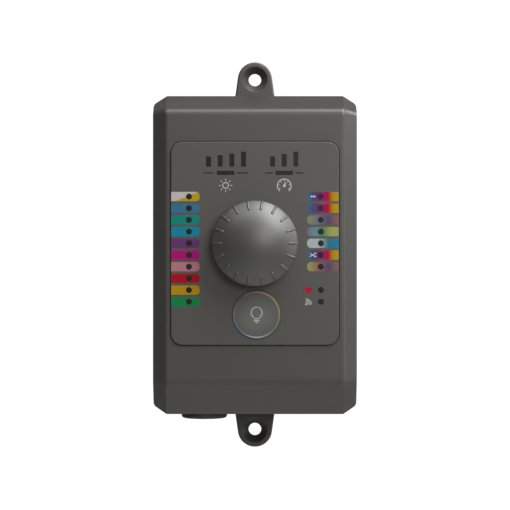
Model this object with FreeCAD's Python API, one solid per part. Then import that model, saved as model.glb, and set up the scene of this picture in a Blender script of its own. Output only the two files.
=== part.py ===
import FreeCAD, Part
import math
import os

# Wall-mount colour light controller, in millimetres.
# X runs to the right of someone facing it, Z up, and the front looks along -Y.
# The origin is the centre of the rear face, which lies on the wall. Every "depth" is measured
# from the wall towards the front, so a point at depth d has y = -d.

V = FreeCAD.Vector

# Case
case_width = 90.4
case_height = 141.6
case_depth = 36.0
wall = 2.8
front_wall = 2.5
corner_cut_x = 6.0
corner_cut_z = 3.6
corner_radius = 2.4

# Sloping faces of the front: side wings, a steep top slope and a shallow bottom slope
wing_width = 5.9
wing_depth = 6.5
top_slope_height = 6.9
top_slope_angle = 63.0
bottom_slope_height = 14.3
bottom_slope_angle = 27.0
top_facet_drop = 1.1
bottom_facet_rise = 0.5
top_edge_radius = 4.4
bottom_edge_radius = 8.0
wing_edge_radius = 2.0
top_facet_radius = 3.6
bottom_facet_radius = 8.0

# Rear base with its mounting ears
base_depth = 6.0
base_floor = 2.6
rim_width = 4.4
base_back_radius = 0.8
ear_spacing = 159.4
ear_radius = 7.8
ear_flare_angle = 8.0
ear_edge_radius = 0.9
ear_hole_radius = 2.9
countersink_radius = 5.8
countersink_depth = 3.0

# Seal between base and cover
seal_width = 1.3
seal_height = 1.2
seal_inset = 0.9
seal_clearance = 0.1

# Screws that join the cover to the base
cover_screw_x = case_width / 2 - 8.0
cover_screw_z = case_height / 2 - 9.8
cover_boss_radius = 3.8
cover_screw_radius = 1.5
cover_screw_head_radius = 2.8
cover_screw_head_depth = 1.8
cover_screw_length = 17.0
screw_clearance = 0.25
thread_clearance = 0.03
cross_slot_width = 0.8
cross_slot_depth = 1.0
cross_slot_reach = 1.3
pilot_into_floor = 0.5

# Raised control panel
panel_width = case_width - 16.4
panel_height = 89.5
panel_centre_z = 4.9
panel_corner_radius = 5.2
panel_thickness = 1.8
panel_proud = 0.8
panel_gap = 0.4
panel_edge_radius = 0.4

# Round badge
badge_x = 0.75
badge_z = -26.45
badge_radius = 10.7
badge_thickness = 0.7
badge_proud = 0.35
badge_gap = 0.12

# Indicator columns, level bars and mode bars
indicator_x = panel_width / 2 - 8.0
indicator_top_z = 25.5
indicator_pitch = 5.14
indicator_radius = 1.25
colour_count = 10
program_count = 7
status_rows = (8, 9)
bar_width = 2.0
bar_foot_z = 38.7
brightness_bar_x = -20.4
brightness_bar_heights = (4.35, 4.95, 5.65, 6.45)
speed_bar_x = 7.75
speed_bar_heights = (4.35, 5.35, 6.45)
bar_pitch = 5.12
mode_bar_x = 12.9
mode_bar_z = 35.9
mode_bar_width = 7.5
mode_bar_height = 1.65
lens_clearance = 0.06
lens_flange = 0.7
lens_flange_thickness = 1.0
led_gap = 0.4

# Knob
knob_z = 4.9
knob_radius = 18.8
knob_height = 14.6
knob_gap = 0.9
knob_dome_radius = 28.3
knob_edge_radius = 1.4
knob_wall = 2.2
knob_hub_radius = 5.6
rib_count = 18
rib_radius = 0.62
rib_proud = 0.42
rib_inner_reach = 14.9
rib_skirt_proud = 0.25
rib_foot = 1.0

# Rotary encoder behind the knob
shaft_radius = 3.0
shaft_neck_radius = 1.7
shaft_flat = 0.6
shaft_flat_length = 7.5
running_clearance = 0.05
press_travel = 0.5
bush_radius = 4.1
bush_length = 7.6
encoder_width = 12.4
encoder_height = 13.2
encoder_case_depth = 6.6
encoder_floor = 0.7
encoder_lid = 1.2
encoder_cavity_radius = 5.3
bushing_radius = 4.5
bushing_plate = 0.8
bushing_past_nut = 0.9
bush_end_gap = 0.7
plunger_radius = 2.2
plunger_thickness = 0.8
rotor_radius = 5.0
rotor_thickness = 2.5
part_gap = 0.1
gasket_radius = 6.6
washer_radius = 6.9
washer_thickness = 0.5
nut_across_flats = 11.0
nut_thickness = 2.2
nut_well_radius = 7.5

# Control board behind the front wall
board_thickness = 1.6
control_board_width = panel_width - 4.0
control_board_height = 84.0
control_board_front = case_depth - 12.4
board_boss_x = control_board_width / 2 - 3.6
board_boss_reach = 38.0
board_boss_radius = 3.0
board_screw_radius = 1.1
board_screw_head_radius = 2.1
board_screw_head_depth = 1.3
board_screw_length = 8.0
led_width = 1.6
led_depth = 0.8
chip_width = 10.0
chip_depth = 1.5
chip_z = -10.0
radio_width = 18.0
radio_height = 22.0
radio_depth = 2.6
radio_x = -14.0
radio_z = 30.0
link_width = 22.0
link_height = 5.0
link_z = -24.0
link_x = 12.0
socket_depth = 8.5
header_base_depth = 2.5
pin_count = 8
pin_pitch = 2.54
pin_width = 0.64
pin_end_gap = 2.0
socket_web = 1.0

# Power board on the base
power_board_width = case_width - 14.4
power_board_height = 106.0
standoff_height = 2.4
standoff_radius = 3.0
power_screw_x = power_board_width / 2 - 2.5
power_screw_z = 48.0
terminal_count = 4
terminal_pitch = 5.08
terminal_z = -46.0
terminal_height = 8.4
terminal_depth = 10.0
terminal_screw_radius = 1.9
terminal_screw_depth = 2.0
wire_entry_radius = 1.6
wire_entry_depth = 4.0
fuse_x = power_board_width / 2 - 16.0
fuse_z = -40.0
fuse_radius = 2.6
fuse_length = 20.0
fuse_cap_length = 5.0
fuse_glass_step = 0.2
fuse_board_gap = 2.0
clip_width = 3.0
clip_wall = 1.2
clip_mouth = 4.4
capacitor_radius = 5.0
capacitor_depth = 12.0
capacitor_z = (12.0, 25.0, 38.0)
capacitor_rim_radius = 0.6
capacitor_x = power_board_width / 2 - 8.0
inductor_x = power_board_width / 2 - 12.0
inductor_z = -13.0
inductor_outer_radius = 7.0
inductor_inner_radius = 3.0
inductor_depth = 5.0
inductor_rim_radius = 0.8
sink_width = 44.0
sink_z = 40.0
sink_x = -6.0
sink_foot = 2.0
sink_height = 12.0
sink_fin_count = 6
sink_fin = 1.2
sink_fin_reach = 7.0
transistor_count = 4
transistor_width = 6.5
transistor_height = 2.3
transistor_depth = 6.1
transistor_pitch = 10.6

# Cable entry at the lower left
grommet_x = 22.5 - case_width / 2
grommet_depth = 17.0
grommet_flange_radius = 10.25
grommet_flange_thickness = 2.45
grommet_rim_radius = 1.3
grommet_neck_radius = 8.0
grommet_inner_radius = 9.4
grommet_inner_thickness = 2.0
cable_radius = 4.0
clamp_z = 11.8 - case_height / 2
clamp_post_spacing = 13.2
clamp_post_radius = 2.4
clamp_bar_width = 18.4
clamp_bar_height = 6.0
clamp_bar_thickness = 2.4
clamp_bar_corner = 2.0
clamp_screw_radius = 1.2
clamp_screw_length = 8.0

overcut = 1.0
tolerance = 0.01

panel_face = case_depth + panel_proud
panel_back = panel_face - panel_thickness
lens_flange_front = case_depth - front_wall
led_front = control_board_front + led_depth
lens_back = led_front + led_gap
control_board_back = control_board_front - board_thickness
power_board_back = base_floor + standoff_height
power_board_front = power_board_back + board_thickness
knob_base = panel_face + knob_gap
knob_top = knob_base + knob_height


def block(width, height, low, high, x=0.0, z=0.0):
    return Part.makeBox(width, high - low, height, V(x - width / 2, -high, z - height / 2))


def post(radius, low, high, x=0.0, z=0.0):
    return Part.makeCylinder(radius, high - low, V(x, -low, z), V(0, -1, 0))


def tube(outer, inner, low, high, x=0.0, z=0.0):
    return post(outer, low, high, x, z).cut(post(inner, low - overcut, high + overcut, x, z))


def upright(radius, low, high, x, depth):
    return Part.makeCylinder(radius, high - low, V(x, -depth, low), V(0, 0, 1))


def flat_prism(points, low, high):
    corners = [V(x, -low, z) for x, z in points]
    return Part.Face(Part.makePolygon(corners + corners[:1])).extrude(V(0, low - high, 0))


def joined(shapes):
    return shapes[0].fuse(shapes[1:]).removeSplitter() if len(shapes) > 1 else shapes[0]


def save(name, shape):
    shape.exportStep(os.path.join("parts", name + ".step"))


# Edges whose middle is nearest to each of the given points.
def edges_near(shape, points):
    return [min(shape.Edges, key=lambda edge: edge.CenterOfMass.distanceToPoint(p)) for p in points]


# Rounds several edges at once, each group to its own radius. A group is a radius and the
# points that its edges pass through.
def rounded(shape, groups):
    document = FreeCAD.newDocument("rounding")
    base = document.addObject("Part::Feature", "base")
    base.Shape = shape
    fillet = document.addObject("Part::Fillet", "fillet")
    fillet.Base = base
    wanted = [(edge.hashCode(), radius) for radius, points in groups for edge in edges_near(shape, points)]
    codes = [edge.hashCode() for edge in base.Shape.Edges]
    fillet.Edges = [(codes.index(code) + 1, radius, radius) for code, radius in wanted]
    document.recompute()
    result = fillet.Shape.copy()
    FreeCAD.closeDocument(document.Name)
    return result


# Edges lying wholly in the plane at one depth.
def edges_at_depth(shape, depth):
    box_of = [(edge, edge.BoundBox) for edge in shape.Edges]
    return [edge for edge, box in box_of
            if abs(box.YMin + depth) < tolerance and abs(box.YMax + depth) < tolerance]


# Edges that run straight through the thickness, as at the corners of a plate.
def through_edges(shape):
    return [edge for edge in shape.Edges
            if edge.BoundBox.XLength < tolerance and edge.BoundBox.ZLength < tolerance]


# Cuts away all that lies outside one plane.
def trimmed(solid, point, normal):
    reach = 4 * case_height
    slab = Part.makeBox(reach, reach, reach, V(-reach / 2, -reach / 2, 0))
    slab.Placement = FreeCAD.Placement(point, FreeCAD.Rotation(V(0, 0, 1), normal))
    return solid.cut(slab)


# Unit normal of the plane through two directions, on the side that faces the front.
def forward_normal(first, second):
    normal = first.cross(second)
    normal.normalize()
    return normal if normal.y < 0 else normal * -1


# Corners of the case outline, moved inwards by an inset, in order round the outline.
def outline(inset):
    half_x = case_width / 2 - inset
    half_z = case_height / 2 - inset
    cut_length = math.hypot(corner_cut_x, corner_cut_z)
    normal_x = corner_cut_z / cut_length
    normal_z = corner_cut_x / cut_length
    reach = normal_x * case_width / 2 + normal_z * (case_height / 2 - corner_cut_z) - inset
    side = (half_x, (reach - normal_x * half_x) / normal_z)
    end = ((reach - normal_z * half_z) / normal_x, half_z)
    points = []
    for sign_x, sign_z in ((1, 1), (-1, 1), (-1, -1), (1, -1)):
        pair = [side, end] if sign_x * sign_z > 0 else [end, side]
        points += [(sign_x * x, sign_z * z) for x, z in pair]
    return points


# Outer case body between two depths, with its upright corners rounded.
def case_prism(low, high):
    prism = flat_prism(outline(0), low, high)
    half_x = case_width / 2
    corners = [edge for edge in through_edges(prism) if abs(abs(edge.CenterOfMass.x) - half_x) < tolerance]
    return prism.makeFillet(corner_radius, corners)


# Foot point and forward normal of each sloping face.
def slope_planes():
    top_z = case_height / 2 - top_slope_height
    bottom_z = -case_height / 2 + bottom_slope_height
    top_run = V(0, top_slope_height * math.tan(math.radians(top_slope_angle)), top_slope_height)
    bottom_run = V(0, bottom_slope_height * math.tan(math.radians(bottom_slope_angle)), -bottom_slope_height)
    planes = [
        (V(0, -case_depth, top_z), forward_normal(top_run, V(1, 0, 0))),
        (V(0, -case_depth, bottom_z), forward_normal(bottom_run, V(1, 0, 0))),
    ]
    for side in (-1, 1):
        foot_x = side * (case_width / 2 - wing_width)
        wing_run = V(side * wing_width, wing_depth, 0)
        planes.append((V(foot_x, -case_depth, 0), forward_normal(wing_run, V(0, 0, 1))))
        planes.append((V(foot_x, -case_depth, top_z),
                       forward_normal(top_run, wing_run + V(0, 0, -top_facet_drop))))
        planes.append((V(foot_x, -case_depth, bottom_z),
                       forward_normal(bottom_run, wing_run + V(0, 0, bottom_facet_rise))))
    return planes


# Rounded outer body of the front cover.
def cover_body():
    body = case_prism(base_depth, case_depth)
    for point, normal in slope_planes():
        body = trimmed(body, point, normal)
    top_z = case_height / 2 - top_slope_height
    bottom_z = -case_height / 2 + bottom_slope_height
    wing_x = case_width / 2 - wing_width
    middle_x = wing_x + wing_width / 2
    middle_y = wing_depth / 2 - case_depth
    sides = (-1, 1)
    return rounded(body, [
        (top_edge_radius, [V(0, -case_depth, top_z)]),
        (bottom_edge_radius, [V(0, -case_depth, bottom_z)]),
        (wing_edge_radius, [V(side * wing_x, -case_depth, (top_z + bottom_z) / 2) for side in sides]),
        (top_facet_radius, [V(side * middle_x, middle_y, top_z - top_facet_drop / 2) for side in sides]),
        (bottom_facet_radius, [V(side * middle_x, middle_y, bottom_z + bottom_facet_rise / 2)
                               for side in sides]),
    ])


# Hollow of the front cover: the same slopes, moved in by the wall.
def cover_hollow():
    hollow = flat_prism(outline(wall), base_depth - overcut, case_depth - front_wall)
    for point, normal in slope_planes():
        hollow = trimmed(hollow, point - normal * wall, normal)
    return hollow


def cover_screw_places():
    return [(x, z) for x in (-cover_screw_x, cover_screw_x) for z in (-cover_screw_z, cover_screw_z)]


def board_boss_places():
    return [(x, panel_centre_z + z) for x in (-board_boss_x, board_boss_x)
            for z in (-board_boss_reach, board_boss_reach)]


def power_screw_places():
    return [(x, z) for x in (-power_screw_x, power_screw_x) for z in (-power_screw_z, power_screw_z)]


def indicator_z(row):
    return indicator_top_z - row * indicator_pitch


def round_lenses():
    return {
        "colour_indicators": [(-indicator_x, indicator_z(row)) for row in range(colour_count)],
        "program_indicators": [(indicator_x, indicator_z(row)) for row in range(program_count)],
        "status_indicators": [(indicator_x, indicator_z(row)) for row in status_rows],
    }


# Place and size of each rectangular lens: x, z, width, height.
def bar_lenses():
    def rising(first_x, heights):
        return [(first_x + step * bar_pitch, bar_foot_z + height / 2, bar_width, height)
                for step, height in enumerate(heights)]
    return {
        "brightness_bars": rising(brightness_bar_x, brightness_bar_heights),
        "speed_bars": rising(speed_bar_x, speed_bar_heights),
        "mode_bars": [(x, mode_bar_z, mode_bar_width, mode_bar_height) for x in (-mode_bar_x, mode_bar_x)],
    }


# Every hole that the lenses pass through, between two depths.
def lens_holes(low, high):
    holes = []
    for places in round_lenses().values():
        holes += [post(indicator_radius + lens_clearance, low, high, x, z) for x, z in places]
    for places in bar_lenses().values():
        holes += [block(width + 2 * lens_clearance, height + 2 * lens_clearance, low, high, x, z)
                  for x, z, width, height in places]
    return holes


def rounded_plate(width, height, radius, low, high, x=0.0, z=0.0):
    plate = block(width, height, low, high, x, z)
    return plate.makeFillet(radius, through_edges(plate))


def front_cover():
    body = cover_body()
    shell = body.cut(cover_hollow())
    bosses = [post(cover_boss_radius, base_depth, case_depth, x, z) for x, z in cover_screw_places()]
    bosses += [post(board_boss_radius, control_board_front, case_depth, x, z) for x, z in board_boss_places()]
    shell = shell.fuse([boss.common(body) for boss in bosses])
    screw_end = cover_screw_length + overcut
    pilots = [post(cover_screw_radius + thread_clearance, base_depth - overcut, screw_end, x, z)
              for x, z in cover_screw_places()]
    pilots += [post(board_screw_radius + thread_clearance, control_board_front - overcut,
                    control_board_back + board_screw_length + overcut, x, z)
               for x, z in board_boss_places()]
    pocket = rounded_plate(panel_width + 2 * panel_gap, panel_height + 2 * panel_gap,
                           panel_corner_radius + panel_gap, panel_back, case_depth + overcut,
                           0, panel_centre_z)
    openings = [pocket, post(bushing_radius + part_gap, 0, case_depth + overcut, 0, knob_z)]
    openings.append(upright(grommet_neck_radius, -case_height / 2 - overcut, -case_height / 2 + wall + overcut,
                            grommet_x, grommet_depth))
    return shell.cut(pilots + openings + lens_holes(lens_flange_front - overcut, case_depth))


# Ring-shaped groove or seal that follows the case outline.
def outline_ring(outer_inset, inner_inset, low, high):
    outer = flat_prism(outline(outer_inset), low, high)
    return outer.cut(flat_prism(outline(inner_inset), low - overcut, high + overcut))


# One ear: a round end tangent to two sides that flare towards the case.
def ear(sign):
    hole_z = ear_spacing / 2
    root_z = case_height / 2 - wall
    flare = math.radians(ear_flare_angle)
    tangent_x = ear_radius * math.cos(flare)
    tangent_z = hole_z + ear_radius * math.sin(flare)
    root_x = tangent_x + (tangent_z - root_z) * math.tan(flare)
    corners = [(-root_x, root_z), (-tangent_x, tangent_z), (tangent_x, tangent_z), (root_x, root_z)]
    plate = flat_prism([(x, sign * z) for x, z in corners], 0, base_depth)
    plate = joined([plate, post(ear_radius, 0, base_depth, 0, sign * hole_z)])
    rim = [edge for edge in edges_at_depth(plate, base_depth) if abs(edge.CenterOfMass.z) > root_z + tolerance]
    return plate.makeFillet(ear_edge_radius, rim)


def ear_hole(sign):
    z = sign * ear_spacing / 2
    shank = post(ear_hole_radius, -overcut, base_depth + overcut, 0, z)
    sink = Part.makeCone(ear_hole_radius, countersink_radius, countersink_depth,
                         V(0, countersink_depth - base_depth, z), V(0, -1, 0))
    return shank.fuse(sink)


def rear_base():
    plate = case_prism(0, base_depth)
    plate = plate.makeFillet(base_back_radius, edges_at_depth(plate, 0))
    floor_cut = flat_prism(outline(rim_width), base_floor, base_depth + overcut)
    body = plate.cut(floor_cut)
    posts = [post(cover_boss_radius, base_floor, base_depth, x, z) for x, z in cover_screw_places()]
    posts += [post(standoff_radius, base_floor, power_board_back, x, z) for x, z in power_screw_places()]
    posts += [post(clamp_post_radius, base_floor, clamp_seat(), x, clamp_z) for x in clamp_post_places()]
    inside = flat_prism(outline(wall), 0, case_depth)
    body = body.fuse([piece.common(inside) for piece in posts] + [ear(1), ear(-1)])
    groove = outline_ring(seal_inset - seal_clearance, seal_inset + seal_width + seal_clearance,
                          base_depth - seal_height, base_depth + overcut)
    head_depth = cover_screw_head_depth + screw_clearance
    holes = [groove, ear_hole(1), ear_hole(-1)]
    for x, z in cover_screw_places():
        holes.append(post(cover_screw_radius + screw_clearance, -overcut, base_depth + overcut, x, z))
        holes.append(post(cover_screw_head_radius + screw_clearance, -overcut, head_depth, x, z))
    holes += [post(board_screw_radius + thread_clearance, base_floor - pilot_into_floor,
                   power_board_back + overcut, x, z) for x, z in power_screw_places()]
    holes += [post(clamp_screw_radius + thread_clearance,
                   clamp_seat() + clamp_bar_thickness - clamp_screw_length - overcut,
                   clamp_seat() + overcut, x, clamp_z) for x in clamp_post_places()]
    return body.cut(holes)


def cover_seal():
    return outline_ring(seal_inset, seal_inset + seal_width, base_depth - seal_height, base_depth)


# A screw along the depth axis. Its head starts at the given depth and its shank goes on
# in the direction of the sign: 1 towards the front, -1 towards the wall.
def screw(x, z, head_start, sign, head_radius, head_depth, radius, length):
    axis = V(0, -sign, 0)
    start = V(x, -head_start, z)
    head = Part.makeCylinder(head_radius, head_depth, start, axis)
    shank = Part.makeCylinder(radius, length - head_depth, start + axis * head_depth, axis)
    body = head.fuse(shank)
    low, high = sorted((head_start - sign * overcut, head_start + sign * cross_slot_depth))
    reach = cross_slot_reach * head_radius
    bars = [block(reach, cross_slot_width, low, high, x, z), block(cross_slot_width, reach, low, high, x, z)]
    return body.cut(bars).removeSplitter()


def cover_screws():
    head_start = screw_clearance
    return [screw(x, z, head_start, 1, cover_screw_head_radius, cover_screw_head_depth,
                  cover_screw_radius, cover_screw_length) for x, z in cover_screw_places()]


def control_panel():
    plate = rounded_plate(panel_width, panel_height, panel_corner_radius, panel_back, panel_face,
                          0, panel_centre_z)
    plate = plate.makeFillet(panel_edge_radius, edges_at_depth(plate, panel_face))
    badge_seat = post(badge_radius + badge_gap, panel_face + badge_proud - badge_thickness,
                      panel_face + overcut, badge_x, badge_z)
    well = post(nut_well_radius, panel_back - overcut, panel_face + overcut, 0, knob_z)
    return plate.cut([badge_seat, well] + lens_holes(panel_back - overcut, panel_face + overcut))


def round_badge():
    disc = post(badge_radius, panel_face + badge_proud - badge_thickness, panel_face + badge_proud,
                badge_x, badge_z)
    rim = edges_at_depth(disc, panel_face + badge_proud)
    return disc.makeChamfer(badge_proud / 2, rim)


def round_lens(x, z):
    stem = post(indicator_radius, lens_back, panel_face, x, z)
    flange = post(indicator_radius + lens_flange, lens_flange_front - lens_flange_thickness,
                  lens_flange_front, x, z)
    return stem.fuse(flange).removeSplitter()


def bar_lens(x, z, width, height):
    stem = block(width, height, lens_back, panel_face, x, z)
    flange = block(width + 2 * lens_flange, height + 2 * lens_flange,
                   lens_flange_front - lens_flange_thickness, lens_flange_front, x, z)
    return stem.fuse(flange).removeSplitter()


def indicator_leds():
    places = [(x, z) for group in round_lenses().values() for x, z in group]
    places += [(x, z) for group in bar_lenses().values() for x, z, width, height in group]
    return [block(led_width, led_depth, control_board_front, led_front, x, z) for x, z in places]


# Height above the knob's base at which a dome of some radius stands over a given reach.
def dome_height(dome_radius, reach):
    return knob_height - knob_dome_radius + math.sqrt(dome_radius ** 2 - reach ** 2)


# The knob's domed and straight-sided body, moved inwards by an inset and open downwards.
def knob_solid(inset):
    radius = knob_radius - inset
    dome = knob_dome_radius - inset

    def at(reach, height):
        return V(reach, -(knob_base + height), 0)

    foot, rim = at(radius, -inset), at(radius, dome_height(dome, radius))
    middle = dome * math.sin(math.asin(radius / dome) / 2)
    crown = at(0, dome_height(dome, 0))
    edges = [
        Part.LineSegment(at(0, -inset), foot).toShape(),
        Part.LineSegment(foot, rim).toShape(),
        Part.Arc(rim, at(middle, dome_height(dome, middle)), crown).toShape(),
        Part.LineSegment(crown, at(0, -inset)).toShape(),
    ]
    solid = Part.Face(Part.Wire(edges)).revolve(V(0, 0, 0), V(0, 1, 0), 360)
    solid.translate(V(0, 0, knob_z))
    return solid


# Outside of the knob, with the rim between dome and skirt rounded.
def knob_body():
    body = knob_solid(0)
    rim_depth = knob_base + dome_height(knob_dome_radius, knob_radius)
    return body.makeFillet(knob_edge_radius, edges_at_depth(body, rim_depth))


# A half-round grip rib: over the outer part of the dome, then down the skirt.
def grip_rib(turn):
    pivot = V(0, -(knob_base + knob_height - knob_dome_radius), knob_z)
    arc_radius = knob_dome_radius + rib_proud - rib_radius
    skirt_reach = knob_radius + rib_skirt_proud - rib_radius
    skirt_top = dome_height(knob_dome_radius, knob_radius) - knob_edge_radius / 2
    low = math.asin(rib_inner_reach / arc_radius)
    high = math.asin((knob_radius - knob_edge_radius / 2) / arc_radius)

    def on_dome(angle):
        return pivot + V(arc_radius * math.sin(angle), -arc_radius * math.cos(angle), 0)

    tangent = V(math.cos(low), math.sin(low), 0)
    section = Part.Face(Part.Wire(Part.makeCircle(rib_radius, on_dome(low), tangent)))
    sweep = section.revolve(pivot, V(0, 0, 1), math.degrees(high - low))
    skirt = post(rib_radius, knob_base + rib_foot, knob_base + skirt_top, skirt_reach, knob_z)
    ends = [on_dome(low), on_dome(high), V(skirt_reach, -(knob_base + skirt_top), knob_z)]
    rib = sweep.fuse([skirt] + [Part.makeSphere(rib_radius, end) for end in ends])
    rib.rotate(V(0, 0, knob_z), V(0, 1, 0), turn)
    return rib


def knob():
    outside = knob_body()
    hollow = knob_solid(knob_wall)
    shell = outside.cut(hollow)
    hub = post(knob_hub_radius, bush_back(), knob_top - knob_wall, 0, knob_z)
    pitch = 360.0 / rib_count
    ribs = [grip_rib(step * pitch) for step in range(rib_count)]
    body = shell.fuse([hub.common(outside)])
    for rib in ribs:
        body = body.fuse(rib)
    bore = post(bush_radius, bush_back() - overcut, bush_back() + bush_length, 0, knob_z)
    return body.cut(hollow.cut(hub)).cut(bore)


# Depths of the encoder's pieces, from the board outwards.
def plunger_back():
    return control_board_front + encoder_floor + press_travel + part_gap


def rotor_back():
    return plunger_back() + plunger_thickness + press_travel


def encoder_front():
    return control_board_front + encoder_case_depth


def bushing_end():
    return panel_back + washer_thickness + nut_thickness + bushing_past_nut


def bush_back():
    return bushing_end() + press_travel + bush_end_gap


def shaft_end():
    return bush_back() + bush_length - part_gap


def shaft_shoulder():
    return rotor_back() + rotor_thickness + press_travel + part_gap


def flat_cut(radius, low, high):
    cut_height = radius
    return block(4 * radius, cut_height, low, high, 0, knob_z + radius - shaft_flat + cut_height / 2)


def encoder_shaft():
    stem = post(shaft_radius, shaft_shoulder(), shaft_end(), 0, knob_z)
    neck = post(shaft_neck_radius, plunger_back() + plunger_thickness, shaft_shoulder(), 0, knob_z)
    neck = neck.cut(flat_cut(shaft_neck_radius, plunger_back(), shaft_shoulder()))
    stem = stem.cut(flat_cut(shaft_radius, shaft_end() - shaft_flat_length, shaft_end() + overcut))
    return stem.fuse(neck).removeSplitter()


# A round hole with a flat side, for a shaft with a matching flat.
def flatted_hole(radius, low, high):
    bigger = radius + running_clearance
    hole = post(bigger, low, high, 0, knob_z)
    return hole.cut(flat_cut(bigger, low, high))


def knob_bush():
    front = bush_back() + bush_length
    body = post(bush_radius, bush_back(), front, 0, knob_z)
    return body.cut(flatted_hole(shaft_radius, bush_back() - overcut, front - part_gap / 2))


def encoder_rotor():
    front = rotor_back() + rotor_thickness
    disc = post(rotor_radius, rotor_back(), front, 0, knob_z)
    return disc.cut(flatted_hole(shaft_neck_radius, rotor_back() - overcut, front + overcut))


def push_plunger():
    return post(plunger_radius, plunger_back(), plunger_back() + plunger_thickness, 0, knob_z)


def encoder_housing():
    body = block(encoder_width, encoder_height, control_board_front, encoder_front(), 0, knob_z)
    lid_back = encoder_front() - encoder_lid
    cavity = post(encoder_cavity_radius, control_board_front + encoder_floor, lid_back, 0, knob_z)
    mouth = post(shaft_radius + part_gap, lid_back - overcut, encoder_front() + overcut, 0, knob_z)
    return body.cut([cavity, mouth])


def encoder_bushing():
    plate = block(encoder_width, encoder_height, encoder_front(), encoder_front() + bushing_plate, 0, knob_z)
    sleeve = post(bushing_radius, encoder_front() + bushing_plate, bushing_end(), 0, knob_z)
    bore = post(shaft_radius + running_clearance, encoder_front() - overcut, bushing_end() + overcut, 0, knob_z)
    return plate.fuse(sleeve).cut(bore)


def encoder_gasket():
    return tube(gasket_radius, bushing_radius + part_gap, encoder_front() + bushing_plate,
                case_depth - front_wall, 0, knob_z)


def encoder_washer():
    return tube(washer_radius, bushing_radius + part_gap, panel_back, panel_back + washer_thickness, 0, knob_z)


def encoder_nut():
    corner_radius_hex = nut_across_flats / 2 / math.cos(math.pi / 6)
    corners = [(corner_radius_hex * math.cos(step * math.pi / 3),
                knob_z + corner_radius_hex * math.sin(step * math.pi / 3)) for step in range(6)]
    back = panel_back + washer_thickness
    body = flat_prism(corners, back, back + nut_thickness)
    return body.cut(post(bushing_radius + thread_clearance, back - overcut, back + nut_thickness + overcut,
                         0, knob_z))


def control_board():
    plate = block(control_board_width, control_board_height, control_board_back, control_board_front,
                  0, panel_centre_z)
    return plate.cut([post(board_screw_radius + screw_clearance, control_board_back - overcut,
                           control_board_front + overcut, x, z) for x, z in board_boss_places()])


def control_board_screws():
    head_start = control_board_back - board_screw_head_depth
    return [screw(x, z, head_start, 1, board_screw_head_radius, board_screw_head_depth,
                  board_screw_radius, board_screw_length) for x, z in board_boss_places()]


def microcontroller():
    return block(chip_width, chip_width, control_board_back - chip_depth, control_board_back, 0, chip_z)


def wireless_module():
    return block(radio_width, radio_height, control_board_back - radio_depth, control_board_back,
                 radio_x, radio_z)


def pin_places():
    first = link_x - (pin_count - 1) * pin_pitch / 2
    return [(first + step * pin_pitch, link_z) for step in range(pin_count)]


def board_socket():
    body = block(link_width, link_height, control_board_back - socket_depth, control_board_back, link_x, link_z)
    side = pin_width + 2 * part_gap
    low = control_board_back - socket_depth - overcut
    slots = [block(side, side, low, control_board_back - socket_web, x, z) for x, z in pin_places()]
    return body.cut(slots)


# Pin header on the power board: a plastic strip with pins that reach into the socket.
def board_header():
    strip = block(link_width, link_height, power_board_front, power_board_front + header_base_depth,
                  link_x, link_z)
    pins = [block(pin_width, pin_width, power_board_front, control_board_back - pin_end_gap, x, z)
            for x, z in pin_places()]
    return strip.fuse(pins).removeSplitter()


def power_board():
    plate = block(power_board_width, power_board_height, power_board_back, power_board_front)
    return plate.cut([post(board_screw_radius + screw_clearance, power_board_back - overcut,
                           power_board_front + overcut, x, z) for x, z in power_screw_places()])


def power_board_screws():
    head_start = power_board_front + board_screw_head_depth
    length = head_start - base_floor
    return [screw(x, z, head_start, -1, board_screw_head_radius, board_screw_head_depth,
                  board_screw_radius, length) for x, z in power_screw_places()]


def terminal_places():
    first = grommet_x - (terminal_count - 1) * terminal_pitch / 2
    return [first + step * terminal_pitch for step in range(terminal_count)]


def terminal_block():
    width = terminal_count * terminal_pitch
    front = power_board_front + terminal_depth
    body = block(width, terminal_height, power_board_front, front, grommet_x, terminal_z)
    low_z = terminal_z - terminal_height / 2
    cuts = []
    for x in terminal_places():
        cuts.append(post(terminal_screw_radius + part_gap, front - terminal_screw_depth, front + overcut,
                         x, terminal_z))
        cuts.append(upright(wire_entry_radius, low_z - overcut, terminal_z, x,
                            power_board_front + wire_entry_depth))
    return body.cut(cuts)


def terminal_screws():
    back = power_board_front + terminal_depth - terminal_screw_depth
    front = back + terminal_screw_depth - part_gap
    slot = block(2 * terminal_screw_radius + overcut, cross_slot_width, front - cross_slot_depth,
                 front + overcut, 0, terminal_z)
    screws = []
    for x in terminal_places():
        notch = slot.copy()
        notch.translate(V(x, 0, 0))
        screws.append(post(terminal_screw_radius, back, front, x, terminal_z).cut(notch))
    return screws


def fuse_axis_depth():
    return power_board_front + fuse_board_gap + fuse_radius


# Two sprung clips, each a block with a round seat that the fuse cap lies in.
def fuse_clips():
    depth = fuse_axis_depth()
    clips = []
    for side in (-1, 1):
        x = fuse_x + side * (fuse_length / 2 - clip_width / 2)
        body = block(clip_width, 2 * (fuse_radius + clip_wall), power_board_front, depth + clip_wall, x, fuse_z)
        seat = Part.makeCylinder(fuse_radius + running_clearance, clip_width + 2 * overcut,
                                 V(x - clip_width / 2 - overcut, -depth, fuse_z), V(1, 0, 0))
        mouth = block(clip_width + overcut, clip_mouth, depth, depth + 2 * overcut, x, fuse_z)
        clips.append(body.cut([seat, mouth]))
    return clips


def fuse():
    start = V(fuse_x - fuse_length / 2, -fuse_axis_depth(), fuse_z)
    glass = Part.makeCylinder(fuse_radius - fuse_glass_step, fuse_length - 2 * fuse_cap_length,
                              start + V(fuse_cap_length, 0, 0), V(1, 0, 0))
    caps = [Part.makeCylinder(fuse_radius, fuse_cap_length, start + V(offset, 0, 0), V(1, 0, 0))
            for offset in (0, fuse_length - fuse_cap_length)]
    return glass.fuse(caps)


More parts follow.
